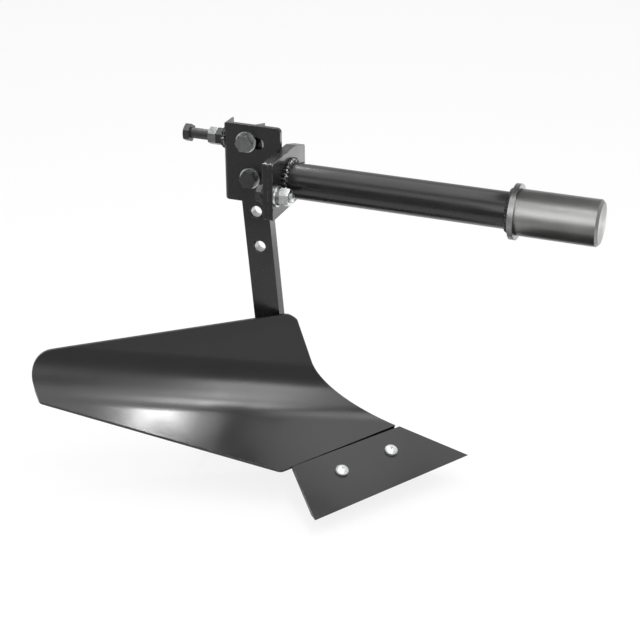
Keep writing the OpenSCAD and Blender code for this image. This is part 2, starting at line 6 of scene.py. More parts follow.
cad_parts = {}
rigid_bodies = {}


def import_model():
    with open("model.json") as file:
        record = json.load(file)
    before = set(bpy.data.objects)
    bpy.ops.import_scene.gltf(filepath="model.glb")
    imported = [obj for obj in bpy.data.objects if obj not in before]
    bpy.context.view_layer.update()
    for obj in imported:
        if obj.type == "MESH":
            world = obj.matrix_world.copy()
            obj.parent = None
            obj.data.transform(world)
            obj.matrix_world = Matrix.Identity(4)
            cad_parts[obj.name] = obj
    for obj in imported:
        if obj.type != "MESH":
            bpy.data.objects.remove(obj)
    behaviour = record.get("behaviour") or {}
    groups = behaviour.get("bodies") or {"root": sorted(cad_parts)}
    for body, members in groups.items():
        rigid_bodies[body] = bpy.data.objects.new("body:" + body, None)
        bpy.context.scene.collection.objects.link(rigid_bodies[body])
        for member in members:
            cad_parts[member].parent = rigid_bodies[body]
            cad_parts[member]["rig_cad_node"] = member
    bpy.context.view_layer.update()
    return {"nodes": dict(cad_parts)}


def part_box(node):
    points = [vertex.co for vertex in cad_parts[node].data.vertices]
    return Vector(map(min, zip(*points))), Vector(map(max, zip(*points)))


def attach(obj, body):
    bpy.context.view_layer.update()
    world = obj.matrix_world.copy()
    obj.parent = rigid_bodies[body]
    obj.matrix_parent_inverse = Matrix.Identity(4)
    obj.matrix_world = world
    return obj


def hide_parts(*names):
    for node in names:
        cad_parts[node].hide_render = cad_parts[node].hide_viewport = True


# Lengths are in metres, angles in degrees, lamps in watts.

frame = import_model()
solids = frame["nodes"]
print("frame loaded:", len(solids), "nodes")


# Bench: how a piece is picked, copied from its solid, softened, painted and handed over

bench = {
    "mergeGap": 2e-6,     # corners of a solid's triangles that lie nearer than this are one
    "flatAngle": 0.3,     # triangles that turn less than this are one flat
    "edgeAngle": 30,      # edges that turn more than this are softened
    "edgeFaces": 2,       # rows of faces across a softened edge
    "roundAngle": 35,     # edges that turn less than this are shaded as round
    "flatWeight": 80,     # how much large flats rule the shading beside them
}


def choose(*pieces):
    if bpy.context.object and bpy.context.object.mode != "OBJECT":
        bpy.ops.object.mode_set(mode="OBJECT")
    bpy.ops.object.select_all(action="DESELECT")
    for piece in pieces:
        piece.select_set(True)
    bpy.context.view_layer.objects.active = pieces[-1]


def editAll(piece):
    choose(piece)
    bpy.ops.object.mode_set(mode="EDIT")
    bpy.ops.mesh.select_all(action="SELECT")


def startPiece(addShape, **settings):
    bpy.ops.object.select_all(action="DESELECT")
    addShape(**settings)
    return bpy.context.object


def joined(pieceName, *pieces):
    choose(*pieces)
    bpy.ops.object.join()
    whole = bpy.context.object
    whole.name = pieceName
    return whole


def applyModifier(piece, kind, **settings):
    choose(piece)
    modifier = piece.modifiers.new(kind.lower(), kind)
    for key, value in settings.items():
        setattr(modifier, key, value)
    bpy.ops.object.modifier_apply(modifier=modifier.name)


def copySolid(nodeName, pieceName):
    # the solid comes as loose triangles: its copy is merged, and its flats made whole
    choose(solids[nodeName])
    bpy.ops.object.duplicate()
    piece = bpy.context.object
    piece.name = pieceName
    del piece["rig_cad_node"]
    bpy.ops.mesh.customdata_custom_splitnormals_clear()
    editAll(piece)
    bpy.ops.mesh.remove_doubles(threshold=bench["mergeGap"])
    bpy.ops.mesh.dissolve_limited(angle_limit=math.radians(bench["flatAngle"]))
    choose(piece)
    return piece


def softenEdges(piece, width, edgeSlot=-1):
    # edgeSlot is the finish of the softened edges, and -1 keeps that of the faces beside them
    applyModifier(piece, "BEVEL", width=width, segments=bench["edgeFaces"],
                  limit_method="ANGLE", angle_limit=math.radians(bench["edgeAngle"]),
                  use_clamp_overlap=True, material=edgeSlot)
    choose(piece)
    bpy.ops.object.shade_smooth_by_angle(angle=math.radians(bench["roundAngle"]))
    applyModifier(piece, "WEIGHTED_NORMAL", keep_sharp=True, weight=bench["flatWeight"])


def paint(piece, *finishes):
    # all faces take the first finish, and the others wait for softenEdges or refinish
    piece.data.materials.clear()
    for finish in finishes:
        piece.data.materials.append(finish)
    for face in piece.data.polygons:
        face.material_index = 0


def refinish(piece, finish, wanted):
    # a second finish for the faces whose middle and direction are wanted
    piece.data.materials.append(finish)
    number = len(piece.data.materials) - 1
    for face in piece.data.polygons:
        if wanted(face.center, face.normal):
            face.material_index = number


def handOver(piece, body, slot, finish, *nodes):
    if finish not in list(piece.data.materials):
        paint(piece, finish)
    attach(piece, body)
    if nodes:
        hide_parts(*nodes)


# Finishes: one function for each way of finishing steel, and the finishes made with them

enamelIor = 1.5
noiseSpan = {"From Min": 0.3, "From Max": 0.7}     # nearly all of a noise lies in here
bandSpan = 0.314              # width of one band of a wave pattern whose scale is 1
sheetDepth, grainDepth, grooveDepth = 0.001, 0.0002, 0.0001
colourA, colourB, colourOut = 6, 7, 2              # sockets of a mix that mixes colours


def linearColour(hexText):
    channels = [int(hexText[i:i + 2], 16) / 255 for i in (1, 3, 5)]
    return tuple(c / 12.92 if c <= 0.04045 else ((c + 0.055) / 1.055) ** 2.4
                 for c in channels) + (1.0,)


def addNode(tree, kind, settings, links=None):
    # a setting is the node's own, or else it is the value of the socket with that name or number
    node = tree.nodes.new(kind)
    for key, value in settings.items():
        if isinstance(key, str) and hasattr(node, key):
            setattr(node, key, value)
        else:
            node.inputs[key].default_value = value
    for key, source in (links or {}).items():
        tree.links.new(source, node.inputs[key])
    return node


def emptyTree(owner):
    owner.use_nodes = True
    owner.node_tree.nodes.clear()
    return owner.node_tree


def newFinish(name):
    finish = bpy.data.materials.new(name)
    tree = emptyTree(finish)
    place = addNode(tree, "ShaderNodeTexCoord", {}).outputs["Object"]
    return finish, tree, place


def blackEnamel(name, values):
    # stoved black enamel, sprayed over steel: deep black under a wet gloss that ripples
    # slowly with the sheet, and finely where the paint dried
    finish, tree, place = newFinish(name)
    peel = addNode(tree, "ShaderNodeTexNoise",
                   {"Scale": 1 / values["peelSize"], "Detail": 2.0}, {"Vector": place})
    wave = addNode(tree, "ShaderNodeTexNoise",
                   {"Scale": 1 / values["waveSize"], "Detail": 1.0}, {"Vector": place})
    haze = addNode(tree, "ShaderNodeTexNoise",
                   {"Scale": 1 / values["hazeSize"], "Detail": 4.0}, {"Vector": place})
    slow = addNode(tree, "ShaderNodeBump",
                   {"Strength": values["waveBump"], "Distance": sheetDepth},
                   {"Height": wave.outputs["Fac"]})
    fine = addNode(tree, "ShaderNodeBump",
                   {"Strength": values["peelBump"], "Distance": grainDepth},
                   {"Height": peel.outputs["Fac"], "Normal": slow.outputs["Normal"]})
    tone = addNode(tree, "ShaderNodeMix",
                   {"data_type": "RGBA", colourA: linearColour(values["dark"]),
                    colourB: linearColour(values["light"])}, {"Factor": haze.outputs["Fac"]})
    rough = addNode(tree, "ShaderNodeMapRange",
                    {**noiseSpan, "To Min": values["glossMin"], "To Max": values["glossMax"]},
                    {"Value": haze.outputs["Fac"]})
    steel = addNode(tree, "ShaderNodeBsdfPrincipled", {"IOR": enamelIor},
                    {"Base Color": tone.outputs[colourOut],
                     "Roughness": rough.outputs["Result"], "Normal": fine.outputs["Normal"]})
    addNode(tree, "ShaderNodeOutputMaterial", {}, {"Surface": steel.outputs["BSDF"]})
    return finish


def rubbedEnamelAndGlints(name, values):
    # black enamel on edges and welds, with patches of grey bare steel that catch the lamps:
    # partly paint rubbed thin, partly put there as painted highlights and glints
    finish, tree, place = newFinish(name)
    patch = addNode(tree, "ShaderNodeTexNoise",
                    {"Scale": 1 / values["patchSize"], "Detail": 5.0}, {"Vector": place})
    # mask of the bare patches: wear, and painted highlights and glints
    bareAndGlint = addNode(tree, "ShaderNodeMapRange",
                   {"From Min": values["bareAndGlintFrom"],
                    "From Max": values["bareAndGlintFrom"] + values["bareAndGlintBlend"]},
                   {"Value": patch.outputs["Fac"]})
    tone = addNode(tree, "ShaderNodeMix",
                   {"data_type": "RGBA", colourA: linearColour(values["paint"]),
                    colourB: linearColour(values["steel"])}, {"Factor": bareAndGlint.outputs["Result"]})
    steel = addNode(tree, "ShaderNodeBsdfPrincipled",
                    {"IOR": enamelIor, "Roughness": values["gloss"]},
                    {"Base Color": tone.outputs[colourOut], "Metallic": bareAndGlint.outputs["Result"]})
    addNode(tree, "ShaderNodeOutputMaterial", {}, {"Surface": steel.outputs["BSDF"]})
    return finish


def brightMetal(name, values):
    # zinc plating on steel, or bare drilled steel: a pale, soft mirror with faint cloudy
    # spots and a grain, which is drawn coarser than the real one so that it shows
    finish, tree, place = newFinish(name)
    cloud = addNode(tree, "ShaderNodeTexNoise",
                    {"Scale": 1 / values["cloudSize"], "Detail": 5.0}, {"Vector": place})
    grain = addNode(tree, "ShaderNodeTexNoise",
                    {"Scale": 1 / values["grainSize"], "Detail": 2.0}, {"Vector": place})
    bump = addNode(tree, "ShaderNodeBump",
                   {"Strength": values["grainBump"], "Distance": grainDepth},
                   {"Height": grain.outputs["Fac"]})
    tone = addNode(tree, "ShaderNodeMix",
                   {"data_type": "RGBA", colourA: linearColour(values["dark"]),
                    colourB: linearColour(values["light"])}, {"Factor": cloud.outputs["Fac"]})
    rough = addNode(tree, "ShaderNodeMapRange",
                    {**noiseSpan, "To Min": values["glossMin"], "To Max": values["glossMax"]},
                    {"Value": cloud.outputs["Fac"]})
    steel = addNode(tree, "ShaderNodeBsdfPrincipled", {"Metallic": 1.0},
                    {"Base Color": tone.outputs[colourOut],
                     "Roughness": rough.outputs["Result"], "Normal": bump.outputs["Normal"]})
    addNode(tree, "ShaderNodeOutputMaterial", {}, {"Surface": steel.outputs["BSDF"]})
    return finish


def turnedSteel(name, values):
    # steel turned on a lathe: fine grooves run round the axis and stretch the light along it;
    # the real feed of about 0.2 mm is too fine to show, so the grooves are drawn coarser
    finish, tree, place = newFinish(name)
    groove = addNode(tree, "ShaderNodeTexWave",
                     {"wave_type": "BANDS", "bands_direction": "X",
                      "Scale": bandSpan / values["grooveWidth"],
                      "Distortion": values["grooveWander"], "Detail": 2.0, "Detail Scale": 3.0},
                     {"Vector": place})
    bump = addNode(tree, "ShaderNodeBump",
                   {"Strength": values["grooveBump"], "Distance": grooveDepth},
                   {"Height": groove.outputs["Fac"]})
    stain = addNode(tree, "ShaderNodeTexNoise",
                    {"Scale": 1 / values["stainSize"], "Detail": 4.0}, {"Vector": place})
    tone = addNode(tree, "ShaderNodeMix",
                   {"data_type": "RGBA", colourA: linearColour(values["dark"]),
                    colourB: linearColour(values["light"])}, {"Factor": stain.outputs["Fac"]})
    rough = addNode(tree, "ShaderNodeMapRange",
                    {**noiseSpan, "To Min": values["glossMin"], "To Max": values["glossMax"]},
                    {"Value": stain.outputs["Fac"]})
    around = addNode(tree, "ShaderNodeTangent", {"direction_type": "RADIAL", "axis": "X"})
    steel = addNode(tree, "ShaderNodeBsdfPrincipled",
                    {"Metallic": 1.0, "Anisotropic": values["stretch"]},
                    {"Base Color": tone.outputs[colourOut],
                     "Roughness": rough.outputs["Result"], "Normal": bump.outputs["Normal"],
                     "Tangent": around.outputs["Tangent"]})
    addNode(tree, "ShaderNodeOutputMaterial", {}, {"Surface": steel.outputs["BSDF"]})
    return finish


def oxideBlack(name, values):
    # black oxide on a machine screw: a thin dull black film that keeps the steel's grain,
    # which is drawn coarser than the real one so that it shows
    finish, tree, place = newFinish(name)
    grain = addNode(tree, "ShaderNodeTexNoise",
                    {"Scale": 1 / values["grainSize"], "Detail": 4.0}, {"Vector": place})
    bump = addNode(tree, "ShaderNodeBump",
                   {"Strength": values["grainBump"], "Distance": grainDepth},
                   {"Height": grain.outputs["Fac"]})
    tone = addNode(tree, "ShaderNodeMix",
                   {"data_type": "RGBA", colourA: linearColour(values["dark"]),
                    colourB: linearColour(values["light"])}, {"Factor": grain.outputs["Fac"]})
    rough = addNode(tree, "ShaderNodeMapRange",
                    {**noiseSpan, "To Min": values["glossMin"], "To Max": values["glossMax"]},
                    {"Value": grain.outputs["Fac"]})
    steel = addNode(tree, "ShaderNodeBsdfPrincipled", {"Metallic": values["metal"]},
                    {"Base Color": tone.outputs[colourOut],
                     "Roughness": rough.outputs["Result"], "Normal": bump.outputs["Normal"]})
    addNode(tree, "ShaderNodeOutputMaterial", {}, {"Surface": steel.outputs["BSDF"]})
    return finish


plateEnamel = blackEnamel("BlackEnamelOnPlate", {
    "dark": "#0b0b0b", "light": "#131313", "glossMin": 0.22, "glossMax": 0.32,
    "peelSize": 0.0022, "peelBump": 0.10, "waveSize": 0.05, "waveBump": 0.05,
    "hazeSize": 0.03})
boardEnamel = blackEnamel("BlackEnamelOnSheet", {
    "dark": "#0b0b0b", "light": "#121212", "glossMin": 0.21, "glossMax": 0.27,
    "peelSize": 0.003, "peelBump": 0.06, "waveSize": 0.09, "waveBump": 0.05,
    "hazeSize": 0.06})
beadEnamel = blackEnamel("BlackEnamelOnWeld", {
    "dark": "#0d0d0d", "light": "#1c1c1c", "glossMin": 0.08, "glossMax": 0.18,
    "peelSize": 0.0014, "peelBump": 0.25, "waveSize": 0.008, "waveBump": 0.10,
    "hazeSize": 0.012})
# lighter paint with bare steel patches on every softened edge: partly worn paint, partly a
# painted highlight along the edges
edgeWearAndHighlight = rubbedEnamelAndGlints("BlackEnamelWornAndHighlightedOnEdges", {
    "paint": "#1d1d1d", "steel": "#6e6e6e", "gloss": 0.3,
    "patchSize": 0.006, "bareAndGlintFrom": 0.46, "bareAndGlintBlend": 0.12})
# thin paint on the weld metal, with grey bare steel patches put there as painted glints on the
# beads
weldGlintEnamel = rubbedEnamelAndGlints("ThinEnamelWithPaintedGlintsOnWeld", {
    "paint": "#131313", "steel": "#8e8e8e", "gloss": 0.16,
    "patchSize": 0.0035, "bareAndGlintFrom": 0.50, "bareAndGlintBlend": 0.12})
dullZinc = brightMetal("WeatheredZincPlating", {
    "dark": "#565757", "light": "#8b8c8c", "glossMin": 0.26, "glossMax": 0.40,
    "cloudSize": 0.005, "grainSize": 0.0012, "grainBump": 0.12})
zincPlating = brightMetal("BrightZincPlating", {
    "dark": "#a9abac", "light": "#d9dbdb", "glossMin": 0.22, "glossMax": 0.34,
    "cloudSize": 0.006, "grainSize": 0.0012, "grainBump": 0.10})
paleZinc = brightMetal("PaleTumbledZinc", {
    "dark": "#c6c8c8", "light": "#eceeee", "glossMin": 0.48, "glossMax": 0.58,
    "cloudSize": 0.006, "grainSize": 0.0012, "grainBump": 0.08})
boreSteel = brightMetal("BareDrilledSteel", {
    "dark": "#8e8f8f", "light": "#c6c7c7", "glossMin": 0.30, "glossMax": 0.42,
    "cloudSize": 0.005, "grainSize": 0.001, "grainBump": 0.2})
latheSteel = turnedSteel("LatheTurnedSteel", {
    "dark": "#7c7c7b", "light": "#9c9c9b", "glossMin": 0.26, "glossMax": 0.34,
    "grooveWidth": 0.0009, "grooveBump": 0.35, "grooveWander": 0.4,
    "stainSize": 0.05, "stretch": 0.6})
screwOxide = oxideBlack("BlackOxideOnScrew", {
    "dark": "#2c2c2c", "light": "#484848", "glossMin": 0.30, "glossMax": 0.44,
    "grainSize": 0.002, "grainBump": 0.15, "metal": 0.6})
print("finishes mixed")


# Frames of the parts that lean or slope, as the solids have them

stance = {"pivot": (-0.3086, 0.0, -0.0049), "legLean": 5.14,
          "sharePoint": (0.2322, 0.0206, -0.3366), "shareSweep": 55, "shareRise": 24.1}
pivot = Vector(stance["pivot"])
legFrame = (Matrix.Translation(pivot)
            @ Matrix.Rotation(math.radians(-stance["legLean"]), 4, "Y"))
shareFrame = (legFrame @ Matrix.Translation(stance["sharePoint"])
              @ Matrix.Rotation(math.radians(stance["shareSweep"]), 4, "Z")
              @ Matrix.Rotation(math.radians(stance["shareRise"]), 4, "X"))


# Plates, bars and sheets: the solids' own shapes, with softened edges where the paint is thin,
# lighter and bare in patches: partly wear, partly a painted highlight along the edges

steelwork = {   # node: piece, body, width of the softened edges, finish
    "beam_tube": ("BeamTube", "beam", 0.0005, plateEnamel),
    "tube_plate": ("TubeSwivelPlate", "beam", 0.0013, plateEnamel),
    "head_plate": ("HeadSwivelPlate", "head", 0.0009, plateEnamel),
    "bracket": ("FoldedBracket", "head", 0.0008, plateEnamel),
    "screw_boss": ("WeldedScrewBoss", "head", 0.0009, plateEnamel),
    "leg": ("LegBar", "plough", 0.0013, plateEnamel),
    "landside": ("LandsideBar", "plough", 0.0012, plateEnamel),
    "gusset": ("LegGusset", "plough", 0.0008, plateEnamel),
    "frog_plate": ("FrogPlate", "plough", 0.0006, plateEnamel),
    "mouldboard": ("Mouldboard", "plough", 0.0011, boardEnamel),
    "mouldboard_stay": ("MouldboardStay", "plough", 0.0007, plateEnamel),
    "share": ("Share", "plough", 0.0008, boardEnamel),
}
made = {}
for nodeName, (pieceName, body, edge, finish) in steelwork.items():
    piece = copySolid(nodeName, pieceName)
    paint(piece, finish, edgeWearAndHighlight)
    softenEdges(piece, edge, edgeSlot=1)
    handOver(piece, body, "black_paint", finish, nodeName)
    made[nodeName] = piece

# the leg's holes are drilled after painting, so their walls are bare
legHoles = {"heights": [0.0425 * step for step in (1, 0, -1, -2)],   # from the pivot
            "reach": 0.0072, "wallTurn": 0.5}
toLeg = legFrame.inverted()


def inLegHole(place, facing):
    inLeg = toLeg @ place
    near = min(math.hypot(inLeg.x, inLeg.z - height) for height in legHoles["heights"])
    return near < legHoles["reach"] and abs(facing.y) < legHoles["wallTurn"]


refinish(made["leg"], boreSteel, inLegHole)
print("steelwork softened:", len(steelwork))

spigotEdge = 0.0004
spigot = copySolid("coupling_spigot", "CouplingSpigot")
softenEdges(spigot, spigotEdge)
handOver(spigot, "beam", "machined_steel", latheSteel, "coupling_spigot")


# Bolts whose threaded ends show: the solid's plain end is cut off and a thread put on

boltThread = {
    "radius": 0.006, "pitch": 0.00175, "length": 0.0062,
    "depth": 0.61, "flankUp": 0.42, "crest": 0.13, "flankDown": 0.45,   # in pitches
    "chamfer": 0.8, "chamferSlope": 0.75,     # its length in pitches, and its fall
    "facesAround": 24, "mergeGap": 1e-6, "roundAngle": 40,
    "overlap": 0.0003,    # how far the thread runs into the shank
}


def threadedEnd(thread):
    # one pitch of the thread's outline, turned up a helix and cut square at both ends
    root = thread["radius"] - thread["depth"] * thread["pitch"]
    depth, pitch = thread["radius"] - root, thread["pitch"]
    end = startPiece(bpy.ops.mesh.primitive_plane_add, size=0.001)
    editAll(end)
    bpy.ops.mesh.merge(type="CENTER")
    bpy.ops.transform.translate(value=(root, 0, -pitch))
    for step in ((depth, 0, thread["flankUp"] * pitch), (0, 0, thread["crest"] * pitch),
                 (-depth, 0, thread["flankDown"] * pitch)):
        bpy.ops.mesh.extrude_region_move(TRANSFORM_OT_translate={"value": step})
    turns = math.ceil(thread["length"] / pitch) + 2
    applyModifier(end, "SCREW", screw_offset=pitch, iterations=turns,
                  steps=thread["facesAround"], render_steps=thread["facesAround"],
                  use_merge_vertices=True, merge_threshold=thread["mergeGap"])
    for height, inner, outer in ((0, True, False), (thread["length"], False, True)):
        editAll(end)
        bpy.ops.mesh.bisect(plane_co=(0, 0, height), plane_no=(0, 0, 1), use_fill=True,
                            clear_inner=inner, clear_outer=outer)
    choose(end)
    for vertex in end.data.vertices:   # the end is chamfered down to the root
        past = vertex.co.z - (thread["length"] - thread["chamfer"] * pitch)
        reach = math.hypot(vertex.co.x, vertex.co.y)
        limit = thread["radius"] - thread["chamferSlope"] * max(past, 0)
        if past > 0 and reach > limit:
            vertex.co.x *= limit / reach
            vertex.co.y *= limit / reach
    editAll(end)
    bpy.ops.mesh.remove_doubles(threshold=bench["mergeGap"])
    bpy.ops.mesh.normals_make_consistent(inside=False)
    choose(end)
    bpy.ops.object.shade_smooth_by_angle(angle=math.radians(thread["roundAngle"]))
    return end


def setOnTip(end, length, tip, inward):
    # a copy of the threaded end, turned to point outwards and set on a bolt's tip
    choose(end)
    bpy.ops.object.duplicate()
    copy = bpy.context.object
    outward = -inward
    copy.matrix_world = (Matrix.Translation(tip - outward * length)
                         @ outward.to_track_quat("Z", "Y").to_matrix().to_4x4())
    bpy.ops.object.transform_apply(location=True, rotation=True, scale=True)
    return copy


def cutBack(piece, tip, inward, length):
    editAll(piece)
    bpy.ops.mesh.bisect(plane_co=tip + inward * length, plane_no=-inward,
                        use_fill=True, clear_outer=True)
    choose(piece)


def boltEnd(nodeName):
    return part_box(nodeName)[1]


boltEdge = 0.0003
swivelBolts = {"aside": 0.038, "height": -0.005}
slotBoltHeight = 0.0425     # above the pivot, along the leg
toRear, toRight = Vector((-1, 0, 0)), Vector((0, -1, 0))
threadedBolts = {   # node: piece, body, slot, finish, way from tip to head, tips
    "swivel_bolts": ("SwivelBolts", "beam", "black_oxide", zincPlating, toRear,
                     [Vector((boltEnd("swivel_bolts").x, side * swivelBolts["aside"],
                              swivelBolts["height"])) for side in (-1, 1)]),
    "pivot_bolt": ("PivotBolt", "head", "black_oxide", screwOxide, toRight,
                   [Vector((pivot.x, boltEnd("pivot_bolt").y, pivot.z))]),
    "slot_bolt": ("SlotBolt", "plough", "zinc", dullZinc, toRight,
                  [legFrame @ Vector((0, boltEnd("slot_bolt").y, slotBoltHeight))]),
}
end = threadedEnd(boltThread)
for nodeName, (pieceName, body, slot, finish, inward, tips) in threadedBolts.items():
    bolt = copySolid(nodeName, pieceName)
    cutBack(bolt, tips[0], inward, boltThread["length"] - boltThread["overlap"])
    softenEdges(bolt, boltEdge)
    ends = [setOnTip(end, boltThread["length"], tip, inward) for tip in tips]
    bolt = joined(pieceName, *ends, bolt)
    handOver(bolt, body, slot, finish, nodeName)
    made[nodeName] = bolt
bpy.data.objects.remove(end)


# Nuts, washers, plough bolts and the setting screw

fasteners = {   # node: piece, body, width of the softened edges, finish, slot
    "swivel_washers": ("SwivelWashers", "beam", 0.00025, zincPlating, "zinc"),
    "swivel_spring_washers": ("SwivelSpringWashers", "beam", 0.00025, dullZinc, "zinc"),
    "swivel_nuts": ("SwivelNuts", "beam", 0.0003, zincPlating, "zinc"),
    "lock_nut": ("LockNut", "head", 0.0003, dullZinc, "zinc"),
    "pivot_washers": ("PivotWashers", "head", 0.00025, zincPlating, "zinc"),
    "pivot_nut": ("PivotNut", "head", 0.0003, zincPlating, "zinc"),
    "slot_washers": ("SlotWashers", "plough", 0.00025, zincPlating, "zinc"),
    "slot_nut": ("SlotNut", "plough", 0.0003, zincPlating, "zinc"),
    "share_spring_washers": ("ShareSpringWashers", "plough", 0.0002, zincPlating, "zinc"),
    "share_nuts": ("ShareNuts", "plough", 0.00025, zincPlating, "zinc"),
    "share_bolts": ("ShareBolts", "plough", 0.00025, paleZinc, "zinc"),
    "adjusting_screw": ("SettingScrew", "screw", 0.0003, screwOxide, "black_oxide"),
}
headRecess = {   # cross recess of the plough bolts, placed in the share's own frame
    "wing": 0.0012, "span": 0.0066, "deep": 0.0032, "taper": 0.45, "wallTurn": 0.5,
    "places": ((-0.080, 0.0455, 0.0062), (-0.149, 0.0455, 0.0062)), "turns": (25, 65)}


def crossPunch(recess):
    # a punch with four wings that narrow towards the bottom
    punch = startPiece(bpy.ops.mesh.primitive_cube_add, size=1)
    editAll(punch)
    bpy.ops.transform.resize(value=(recess["wing"], recess["wing"], 2 * recess["deep"]))
    bpy.ops.mesh.select_mode(type="FACE")
    bpy.ops.mesh.select_all(action="DESELECT")
    choose(punch)
    for face in punch.data.polygons:
        face.select = abs(face.normal.z) < recess["wallTurn"]
    bpy.ops.object.mode_set(mode="EDIT")
    bpy.ops.mesh.extrude_faces_move(TRANSFORM_OT_shrink_fatten={
        "value": (recess["span"] - recess["wing"]) / 2})
    choose(punch)
    for vertex in punch.data.vertices:
        if vertex.co.z < 0:
            vertex.co.x *= recess["taper"]
            vertex.co.y *= recess["taper"]
    editAll(punch)
    bpy.ops.mesh.normals_make_consistent(inside=False)
    choose(punch)
    return punch


def sinkRecesses(piece, recess):
    punch = crossPunch(recess)
    for place, turn in zip(recess["places"], recess["turns"]):
        punch.matrix_world = (shareFrame @ Matrix.Translation(place)
                              @ Matrix.Rotation(math.radians(turn), 4, "Z"))
        applyModifier(piece, "BOOLEAN", object=punch, operation="DIFFERENCE", solver="EXACT")
    bpy.data.objects.remove(punch)


for nodeName, (pieceName, body, edge, finish, slot) in fasteners.items():
    piece = copySolid(nodeName, pieceName)
    softenEdges(piece, edge)
    if nodeName == "share_bolts":
        sinkRecesses(piece, headRecess)
    handOver(piece, body, slot, finish, nodeName)
    made[nodeName] = piece


def behindHead(place, facing):
    return place.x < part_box("head_plate")[0].x


# bolt heads and washers behind the head plate are dark like the plate
refinish(made["swivel_bolts"], screwOxide, behindHead)
refinish(made["swivel_washers"], plateEnamel, behindHead)
print("fasteners made:", len(threadedBolts) + len(fasteners))


# Weld beads: overlapping ripples, laid along the seam and run together

# half is a ripple's radius, and thin its length along the seam as a share of its width;
# the waves are out of step, so the ripples differ, and do so the same way in each run
ripples = {"segments": 14, "rings": 9, "fastWave": 2.3, "slowWave": 0.7, "smoothing": 0.5}
tubeBead = {"half": 0.0041, "thin": 0.5, "uneven": 0.2, "lean": 32, "voxel": 0.0004,
            "centre": (-0.2583, 0, 0), "ring": 0.0214, "pitch": 0.0047}
collarBead = {"half": 0.0036, "thin": 0.5, "uneven": 0.2, "lean": 32, "voxel": 0.0004,
              "centre": (-0.0078, 0, 0), "ring": 0.0213, "pitch": 0.0034}
bossBead = {"half": 0.0027, "thin": 0.5, "uneven": 0.2, "lean": 28, "voxel": 0.0004,
            "centre": (-0.3420, 0.0131, 0.0350), "ring": 0.0098, "pitch": 0.0033}
seatBead = {"half": 0.0026, "thin": 0.5, "uneven": 0.06, "lean": 25, "voxel": 0.00045,
            "x": -0.2732, "sides": (0.0005, 0.0077), "endRoom": 0.002, "pitch": 0.002}
# these two lie in the leg's own frame
footBead = {"half": 0.0036, "thin": 0.5, "uneven": 0.1, "lean": 28, "voxel": 0.00045,
            "start": (-0.0177, 0.0076, -0.2949), "end": (-0.0177, 0.0196, -0.2949),
            "pitch": 0.0026}
boardBead = {"half": 0.0044, "thin": 0.5, "uneven": 0.1, "lean": 28, "voxel": 0.00045,
             "start": (0.0115, 0.0050, -0.1745), "end": (0.0115, 0.0050, -0.2200),
             "pitch": 0.0032, "fillEdge": 0.0006}


def weldBead(pieceName, bead, seam):
    ripple = startPiece(bpy.ops.mesh.primitive_uv_sphere_add, segments=ripples["segments"],
                        ring_count=ripples["rings"], radius=bead["half"])
    editAll(ripple)
    bpy.ops.transform.resize(value=(1.0, bead["thin"], 1.0))
    choose(ripple)
    copies = []
    for number, (place, way) in enumerate(seam):
        copy = ripple.copy()
        copy.data = ripple.data.copy()
        bpy.context.collection.objects.link(copy)
        wave = (math.sin(ripples["fastWave"] * number)
                * math.sin(ripples["slowWave"] * number + 1))
        lean = Matrix.Rotation(math.radians(bead["lean"]), 4, "X")
        copy.matrix_world = (Matrix.Translation(place)
                             @ way.to_track_quat("Y", "Z").to_matrix().to_4x4() @ lean
                             @ Matrix.Scale(1 + bead["uneven"] * wave, 4))
        copies.append(copy)
    choose(ripple)
    bpy.ops.object.delete()
    whole = joined(pieceName, *copies)
    bpy.ops.object.transform_apply(location=True, rotation=True, scale=True)
    whole.data.remesh_voxel_size = bead["voxel"]
    bpy.ops.object.voxel_remesh()
    applyModifier(whole, "SMOOTH", factor=ripples["smoothing"], iterations=1)
    choose(whole)
    bpy.ops.object.shade_smooth()
    return whole


def ringSeam(bead):
    count = round(2 * math.pi * bead["ring"] / bead["pitch"])
    for i in range(count):
        turn = 2 * math.pi * i / count
        yield (Vector(bead["centre"])
               + bead["ring"] * Vector((0, math.cos(turn), math.sin(turn))),
               Vector((0, -math.sin(turn), math.cos(turn))))


def lineSeam(start, end, pitch):
    count = max(2, round((end - start).length / pitch))
    for i in range(count):
        yield start.lerp(end, (i + 0.5) / count), (end - start).normalized()


def legSeam(bead):
    return lineSeam(legFrame @ Vector(bead["start"]), legFrame @ Vector(bead["end"]),
                    bead["pitch"])


# the tube weld takes the finish with painted glints
weld = weldBead("TubeWeld", tubeBead, ringSeam(tubeBead))
handOver(weld, "beam", "black_paint", weldGlintEnamel, "tube_weld")
weld = weldBead("CouplingWeld", collarBead, ringSeam(collarBead))
handOver(weld, "beam", "black_paint", beadEnamel, "coupling_weld")

low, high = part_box("bracket_weld")
seatSeam = []
for side in seatBead["sides"]:
    seatSeam += lineSeam(Vector((seatBead["x"], side, low.z + seatBead["endRoom"])),
                         Vector((seatBead["x"], side, high.z - seatBead["endRoom"])),
                         seatBead["pitch"])
weld = weldBead("BracketWeld", seatBead, seatSeam)
handOver(weld, "head", "black_paint", beadEnamel, "bracket_weld")
# the boss weld takes the finish with painted glints, to look lighter
weld = weldBead("BossWeld", bossBead, ringSeam(bossBead))
handOver(weld, "head", "black_paint", weldGlintEnamel)

weld = weldBead("LegFootWeld", footBead, legSeam(footBead))
handOver(weld, "plough", "black_paint", beadEnamel, "leg_weld")
fill = copySolid("board_weld", "BoardWeldFill")
softenEdges(fill, boardBead["fillEdge"])
paint(fill, beadEnamel)
weld = weldBead("BoardWeldRipples", boardBead, legSeam(boardBead))
weld = joined("BoardWeld", weld, fill)
handOver(weld, "plough", "black_paint", beadEnamel, "board_weld")
print("weld beads laid")


# Studio: a pale floor, and a room that is white to the camera and greyer to mirrors

